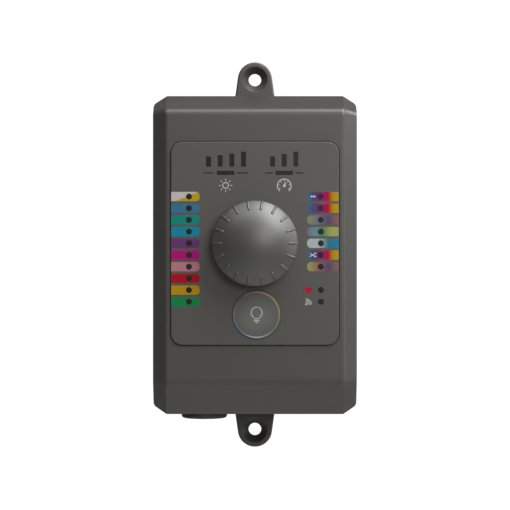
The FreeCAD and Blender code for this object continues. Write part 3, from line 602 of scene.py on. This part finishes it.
# Centres (x and z) of the separate solids in a CAD node, from the top row down
def solidsOf(nodeName):
    work = bmesh.new()
    work.from_mesh(nodes[nodeName].data)
    bmesh.ops.remove_doubles(work, verts=work.verts, dist=0.002 * mm)
    left = set(work.verts)
    found = []
    while left:
        stack = [left.pop()]
        group = list(stack)
        while stack:
            for edge in stack.pop().link_edges:
                for vert in edge.verts:
                    if vert in left:
                        left.remove(vert)
                        stack.append(vert)
                        group.append(vert)
        lows = [min(v.co[i] for v in group) for i in range(3)]
        highs = [max(v.co[i] for v in group) for i in range(3)]
        found.append(((lows[0] + highs[0]) / 2, (lows[2] + highs[2]) / 2))
    work.free()
    return sorted(found, key=lambda place: (-round(place[1], 5), place[0]))


tab = {
    "height": 4.1 * mm,
    "cornerRadius": 1.6 * mm,
    "leftReach": 4.7 * mm,       # from the light's centre to the round end
    "rightReach": 6.0 * mm,
    "edgeMargin": 0.15 * mm,     # left between the print and the panel's edge
    "dotRadius": 1.32 * mm,
}


# A tab that runs from the panel's edge past a light to a round end. inward is 1 when the round
# end is on the right, -1 when it is on the left.
def tabOutline(dotX, dotZ, inward):
    edgeX = (panelLow[0] + tab["edgeMargin"]) if inward > 0 else (panelHigh[0] - tab["edgeMargin"])
    endX = dotX + inward * (tab["leftReach"] if inward > 0 else tab["rightReach"])
    half = tab["height"] / 2
    radius = tab["cornerRadius"]
    upper = arcPoints(0, 0, radius, 0, math.pi / 2, 10)
    corner = [(endX + inward * (x - radius), dotZ + half - radius + z) for x, z in upper]
    mirrored = [(x, 2 * dotZ - z) for x, z in reversed(corner)]
    return [(edgeX, dotZ + half)] + corner[::-1] + mirrored[::-1] + [(edgeX, dotZ - half)]


# Printing inks by name
inkHex = {
    "white": "989490", "silver": "889090", "gold": "907810", "amber": "907008", "orange": "985020", "red": "880818",
    "magenta": "880858", "violet": "502858", "indigo": "383c60", "blue": "285870", "cyan": "086880",
    "teal": "086860", "green": "086838", "moss": "406840", "sage": "687050", "sand": "808048", "mist": "507078",
    "slate": "585868", "plum": "483850", "clay": "705048", "rose": "906068",
}


# Blend of inks spread evenly from the first to the last
def evenStops(names):
    return [(i / (len(names) - 1), inkHex[name]) for i, name in enumerate(names)]


rainbow = ("blue", "indigo", "violet", "magenta", "red", "amber", "gold")
leftTabs = ("gold", "blue", "teal", "cyan", "violet", "magenta", "rose", "red", "amber", "green")
rightTabs = (rainbow, rainbow, ("sage", "slate", "plum", "clay"), ("slate", "mist", "moss", "sand", "sand"),
             ("silver", "silver", "blue", "cyan"), rainbow, ("sand", "clay", "plum", "clay"))
splitStops = [(0.4, inkHex["white"]), (0.6, inkHex["gold"])]
colourDots = solidsOf("colour_indicators")
programDots = solidsOf("program_indicators")
statusDots = solidsOf("status_indicators")
for row, ((dotX, dotZ), inkName) in enumerate(zip(colourDots, leftTabs)):
    hole = circleOutline(dotX, dotZ, tab["dotRadius"])
    if row == 0:
        start = (dotX - 1.25 * mm, dotZ + 1.2 * mm)
        finish = blendedInk("splitInk", splitStops, start, (start[0] + 0.9 * mm, start[1] - 2.2 * mm))
    else:
        finish = screenInk(f"tabInk{row + 1}", inkHex[inkName])
    printFilm(f"colourTab{row + 1}", [tabOutline(dotX, dotZ, 1), hole], finish)
for row, ((dotX, dotZ), blend) in enumerate(zip(programDots, rightTabs)):
    hole = circleOutline(dotX, dotZ, tab["dotRadius"])
    roundEnd, panelEdge = (dotX - tab["rightReach"], dotZ), (panelHigh[0], dotZ)
    finish = blendedInk(f"blendInk{row + 1}", evenStops(blend), roundEnd, panelEdge)
    printFilm(f"programTab{row + 1}", [tabOutline(dotX, dotZ, -1), hole], finish)
print("tabs printed,", len(colourDots) + len(programDots))

paleInk = screenInk("paleInk", "9d9c96")
whiteInk = screenInk("whiteInk", "b4b2ac")
darkInk = screenInk("darkInk", "1c1c1a")
redInk = screenInk("redInk", "900c2a")

sign = {"line": 0.42 * mm, "fine": 0.3 * mm, "ruleWidth": 0.45 * mm}
# Rules either side of a mode bar: start and end of each, from the bar's centre in mm
ruleReach = {"Left": ((-9.9, -5.5), (4.8, 9.9)), "Right": ((-8.4, -5.0), (4.9, 8.3))}
modeBars = solidsOf("mode_bars")
for side, (barX, barZ) in zip(("Left", "Right"), sorted(modeBars)):
    rules = [boxOutline(barX + a * mm, barX + b * mm, barZ - sign["ruleWidth"] / 2, barZ + sign["ruleWidth"] / 2)
             for a, b in ruleReach[side]]
    printFilm("rules" + side, rules, darkInk)

# Sun under the brightness bars: a ring and its rays
sun = {"drop": 5.5 * mm, "ringOuter": 1.45 * mm, "ringInner": 1.05 * mm, "rayStart": 2.05 * mm, "rayEnd": 2.95 * mm,
       "rays": 8}
leftBar, rightBar = sorted(modeBars)
sunX, sunZ = leftBar[0], leftBar[1] - sun["drop"]


# A short stroke that points away from a centre
def rayOutline(centreX, centreZ, start, end, angle):
    away = Vector((math.cos(angle), math.sin(angle)))
    middle = Vector((centreX, centreZ))
    return strokeOutline(tuple(middle + away * start), tuple(middle + away * end), sign["fine"])


sunRing = [circleOutline(sunX, sunZ, sun["ringOuter"]), circleOutline(sunX, sunZ, sun["ringInner"])]
rays = [rayOutline(sunX, sunZ, sun["rayStart"], sun["rayEnd"], 2 * math.pi * i / sun["rays"])
        for i in range(sun["rays"])]
printFilm("sunSign", sunRing + rays, paleInk)

# Gauge under the speed bars: an open dial with ticks and a needle. Angles in degrees.
gauge = {"drop": 5.7 * mm, "radius": 3.0 * mm, "opening": (-48, 228), "tickStart": 1.95 * mm, "tickEnd": 2.75 * mm,
         "ticks": 7, "firstTick": -30, "tickStep": 40, "needleTip": (0.8 * mm, 1.9 * mm), "hub": 0.62 * mm,
         "hubArc": (150, 345)}
dialX, dialZ = rightBar[0], rightBar[1] - gauge["drop"]
dial = [arcOutline(dialX, dialZ, gauge["radius"], sign["line"], *gauge["opening"])]
ticks = [rayOutline(dialX, dialZ, gauge["tickStart"], gauge["tickEnd"],
                    math.radians(gauge["firstTick"] + gauge["tickStep"] * i)) for i in range(gauge["ticks"])]
hubFrom, hubTo = [math.radians(angle) for angle in gauge["hubArc"]]
needleTip = (dialX + gauge["needleTip"][0], dialZ + gauge["needleTip"][1])
needle = [arcPoints(dialX, dialZ, gauge["hub"], hubFrom, hubTo, 16) + [needleTip]]
printFilm("gaugeDial", dial, paleInk)
printFilm("gaugeTicks", ticks + needle, paleInk)


# Heart beside the upper status light
def heartOutline(centreX, centreZ, width, steps=40):
    points = []
    for i in range(steps):
        t = 2 * math.pi * i / steps
        x = 16 * math.sin(t) ** 3
        z = 13 * math.cos(t) - 5 * math.cos(2 * t) - 2 * math.cos(3 * t) - math.cos(4 * t)
        points.append((centreX + x * width / 32, centreZ + z * width / 32))
    return points


signGap = 5.5 * mm
heartX, heartZ = statusDots[0][0] - signGap, statusDots[0][1]
printFilm("heartSign", [heartOutline(heartX, heartZ, 3.5 * mm)], redInk)

# Radio waves beside the lower one: a dot and two quarter rings
waveX, waveZ = statusDots[1][0] - signGap - 1.3 * mm, statusDots[1][1] - 1.4 * mm
waves = [circleOutline(waveX + 0.3 * mm, waveZ + 0.3 * mm, 0.42 * mm, 24)]
waves += [arcOutline(waveX, waveZ, r * mm, 0.36 * mm, 4, 86) for r in (1.35, 2.05, 2.75)]
printFilm("waveSign", waves, paleInk)


# Arrow with a head, as one outline
def arrowOutline(tailX, tipX, z, width, head):
    towards = 1 if tipX > tailX else -1
    neckX = tipX - towards * head
    return [(tailX, z - width / 2), (neckX, z - width / 2), (neckX, z - head * 0.7), (tipX, z),
            (neckX, z + head * 0.7), (neckX, z + width / 2), (tailX, z + width / 2)]


arrowX = programDots[0][0] - 3.45 * mm
swap = [arrowOutline(arrowX, arrowX - 1.2 * mm, programDots[0][1], 0.35 * mm, 0.75 * mm),
        arrowOutline(arrowX + 0.001 * mm, arrowX + 1.2 * mm, programDots[0][1], 0.35 * mm, 0.75 * mm)]
printFilm("swapSign", swap, whiteInk, panelFace - ink["film"])
crossZ = programDots[5][1]
crossing = []
for slope in (-1, 1):
    start = (arrowX - 1.3 * mm, crossZ - slope * 0.7 * mm)
    end = (arrowX + 0.9 * mm, crossZ + slope * 0.7 * mm)
    crossing.append(strokeOutline(start, end, 0.3 * mm))
    crossing.append([(end[0], end[1] - 0.45 * mm), (end[0] + 0.6 * mm, end[1]), (end[0], end[1] + 0.45 * mm)])
for number, outline in enumerate(crossing):
    printFilm(f"shuffleSign{number + 1}", [outline], whiteInk,
              panelFace - ink["film"] * (1 + 0.1 * number))
print("signs printed")

# Badge: a ring that runs through the hues, and a plain lamp sign in the middle.
# The ring's inks run round from the left, by way of the bottom.
hueStops = evenStops(("slate", "blue", "silver", "moss", "sage", "sand", "rose", "plum", "slate"))
ringRadius = (badgeHigh[0] - badgeLow[0]) / 2 - 0.75 * mm
ringFinish = hueRingInk("hueInk", hueStops, badgeCentre)
printFilm("hueRing", [circleOutline(badgeCentre.x, badgeCentre.z, ringRadius + 0.28 * mm, 128),
                      circleOutline(badgeCentre.x, badgeCentre.z, ringRadius - 0.28 * mm, 128)],
          ringFinish, badgeFace)
# Lamp sign: an open ring over three short bars, each as half-width and drop in mm
bulbShape = {"lift": 0.9 * mm, "radius": 2.4 * mm, "line": 0.5 * mm, "opening": (-58, 238), "barHeight": 0.5,
             "bars": ((1.25, 2.55), (1.25, 3.4), (0.7, 4.2))}
bulbX, bulbZ = badgeCentre.x, badgeCentre.z + bulbShape["lift"]
bulb = [arcOutline(bulbX, bulbZ, bulbShape["radius"], bulbShape["line"], *bulbShape["opening"], 60)]
halfBar = bulbShape["barHeight"] / 2
bulb += [boxOutline(bulbX - w * mm, bulbX + w * mm, bulbZ - (h + halfBar) * mm, bulbZ - (h - halfBar) * mm)
         for w, h in bulbShape["bars"]]
printFilm("lampSign", bulb, paleInk, badgeFace)
print("badge printed")

# Floor, lights and surroundings
studio = {
    "floorHeight": -0.8,
    "floorSides": (-3.0, 3.0, -3.0, 0.9),    # left, right, front and back
    "backdrop": 1.05,                        # brightness seen behind the object
    "fill": 0.2,                             # light that comes evenly from all round
}
left, right, front, back = studio["floorSides"]
corners = [(left, front), (right, front), (right, back), (left, back)]
floorMesh = bpy.data.meshes.new("floor")
floorMesh.from_pydata([(x, y, studio["floorHeight"]) for x, y in corners], [], [(0, 1, 2, 3)])
floor = bpy.data.objects.new("floor", floorMesh)
bpy.context.scene.collection.objects.link(floor)
floorFinish = mouldedAbs("vinylFloor", "f0f0ee", 0.7, grainMm=4)
floorMesh.materials.append(floorFinish)

# Each lamp: the direction it stands in, how far away, its width and height, and its power
lamps = {
    "main": ((0.30, -0.92, 0.24), 2.2, (0.8, 0.8), 12.0),
    "key": ((0.50, -0.42, 0.75), 0.9, (0.45, 0.9), 11.0),
    "overhead": ((0.0, -0.45, 0.87), 0.9, (1.2, 0.5), 6.0),
    "rightSide": ((0.95, -0.25, 0.15), 0.9, (0.3, 0.8), 2.0),
    "rightRim": ((0.86, 0.26, 0.43), 0.9, (0.4, 0.4), 3.0),
}
aimPoint = Vector((0, -25 * mm, 0))
for lampName, (direction, distance, size, watts) in lamps.items():
    data = bpy.data.lights.new(lampName, "AREA")
    data.shape = "RECTANGLE"
    data.size, data.size_y = size
    data.energy = watts
    lamp = bpy.data.objects.new(lampName, data)
    bpy.context.scene.collection.objects.link(lamp)
    towards = Vector(direction).normalized()
    lamp.location = aimPoint + towards * distance
    lamp.rotation_euler = (-towards).to_track_quat("-Z", "Y").to_euler()

# White all round for the camera, a dim grey for what lights the object
world = bpy.data.worlds.new("studio")
bpy.context.scene.world = world
world.use_nodes = True
worldTree = world.node_tree
seen = addNode(worldTree, "ShaderNodeLightPath")
strength = addNode(worldTree, "ShaderNodeMapRange",
                   values={"To Min": studio["fill"], "To Max": studio["backdrop"]},
                   links={"Value": seen.outputs["Is Camera Ray"]})
background = worldTree.nodes["Background"]
background.inputs["Color"].default_value = (1, 1, 1, 1)
worldTree.links.new(strength.outputs["Result"], background.inputs["Strength"])
print("stage and lights set")
